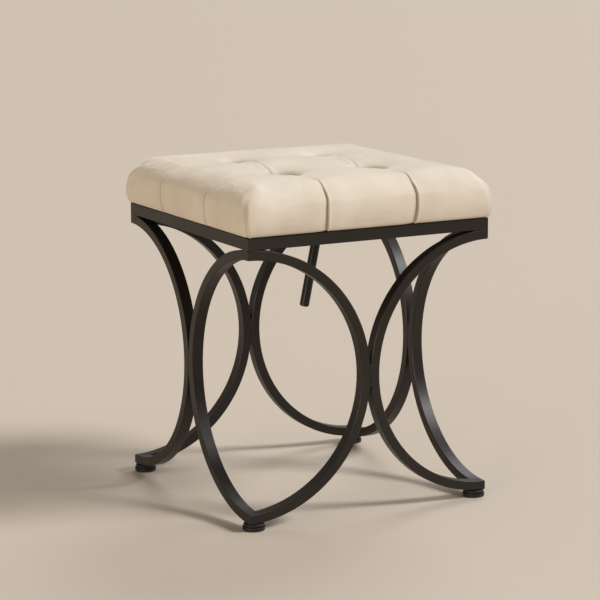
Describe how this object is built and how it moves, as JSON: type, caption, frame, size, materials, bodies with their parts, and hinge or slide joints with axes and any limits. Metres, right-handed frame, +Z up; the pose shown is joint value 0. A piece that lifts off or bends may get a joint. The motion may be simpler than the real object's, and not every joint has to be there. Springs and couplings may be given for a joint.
{
  "type": "accent stool",
  "caption": "Square button-tufted stool on a dark steel frame of back-to-back half-circle bars, with a short rod hanging under the seat and screw-in levelling feet.",
  "frame": {"origin": "on the floor, under the middle of the seat", "axes": "+Z up; the front face looks towards -Y and its left corner is at -X"},
  "size_m": [0.418, 0.418, 0.5041],
  "materials": {
    "frame_steel": "dark bronze-black powder coat, satin",
    "zinc_steel": "zinc-plated steel",
    "foot_plastic": "black moulded plastic",
    "velvet": "cream short-pile velvet over wadding",
    "foam": "upholstery foam",
    "plywood": "bare plywood",
    "dust_cloth": "black non-woven cloth",
    "cord": "waxed tufting twine"
  },
  "bodies": {
    "frame": {"rail_front": "frame_steel", "arc_front_left": "frame_steel", "arc_front_right": "frame_steel", "rail_right": "frame_steel", "arc_right_front": "frame_steel", "arc_right_back": "frame_steel", "rail_back": "frame_steel", "arc_back_right": "frame_steel", "arc_back_left": "frame_steel", "rail_left": "frame_steel", "arc_left_back": "frame_steel", "arc_left_front": "frame_steel", "face_welds": "frame_steel", "corner_welds": "frame_steel", "corner_plate_front_left": "frame_steel", "tuft_button_front_left": "velvet", "corner_plate_front_right": "frame_steel", "tuft_button_front_right": "velvet", "corner_plate_back_right": "frame_steel", "tuft_button_back_right": "velvet", "corner_plate_back_left": "frame_steel", "tuft_button_back_left": "velvet", "seat_cover": "velvet", "foam_core": "foam", "seat_board": "plywood", "dust_cover": "dust_cloth", "seat_screws": "zinc_steel", "seat_washers": "zinc_steel", "tee_nuts": "zinc_steel", "foot_nuts": "zinc_steel", "tuft_cords": "cord", "tuft_washers": "zinc_steel", "under_rod": "frame_steel", "rod_flange": "frame_steel", "flange_screws": "zinc_steel"},
    "stem_front_left": {"foot_stem_front_left": "zinc_steel"},
    "pad_front_left": {"foot_pad_front_left": "foot_plastic"},
    "stem_front_right": {"foot_stem_front_right": "zinc_steel"},
    "pad_front_right": {"foot_pad_front_right": "foot_plastic"},
    "stem_back_right": {"foot_stem_back_right": "zinc_steel"},
    "pad_back_right": {"foot_pad_back_right": "foot_plastic"},
    "stem_back_left": {"foot_stem_back_left": "zinc_steel"},
    "pad_back_left": {"foot_pad_back_left": "foot_plastic"}
  },
  "joints": [
    {"name": "foot_rise_front_left", "type": "slide", "parent": "frame", "child": "stem_front_left", "axis": [0, 0, -1], "range_m": [0, 0.005]},
    {"name": "foot_turn_front_left", "type": "hinge", "parent": "stem_front_left", "child": "pad_front_left", "pos_m": [-0.1876, -0.1876, 0], "axis": [0, 0, -1], "range_deg": [0, 1800]},
    {"name": "foot_rise_front_right", "type": "slide", "parent": "frame", "child": "stem_front_right", "axis": [0, 0, -1], "range_m": [0, 0.005]},
    {"name": "foot_turn_front_right", "type": "hinge", "parent": "stem_front_right", "child": "pad_front_right", "pos_m": [0.1876, -0.1876, 0], "axis": [0, 0, -1], "range_deg": [0, 1800]},
    {"name": "foot_rise_back_right", "type": "slide", "parent": "frame", "child": "stem_back_right", "axis": [0, 0, -1], "range_m": [0, 0.005]},
    {"name": "foot_turn_back_right", "type": "hinge", "parent": "stem_back_right", "child": "pad_back_right", "pos_m": [0.1876, 0.1876, 0], "axis": [0, 0, -1], "range_deg": [0, 1800]},
    {"name": "foot_rise_back_left", "type": "slide", "parent": "frame", "child": "stem_back_left", "axis": [0, 0, -1], "range_m": [0, 0.005]},
    {"name": "foot_turn_back_left", "type": "hinge", "parent": "stem_back_left", "child": "pad_back_left", "pos_m": [-0.1876, 0.1876, 0], "axis": [0, 0, -1], "range_deg": [0, 1800]}
  ],
  "couplings": [
    {"joint": "foot_rise_front_left", "follows": "foot_turn_front_left", "m_per_rad": 0.000159},
    {"joint": "foot_rise_front_right", "follows": "foot_turn_front_right", "m_per_rad": 0.000159},
    {"joint": "foot_rise_back_right", "follows": "foot_turn_back_right", "m_per_rad": 0.000159},
    {"joint": "foot_rise_back_left", "follows": "foot_turn_back_left", "m_per_rad": 0.000159}
  ]
}
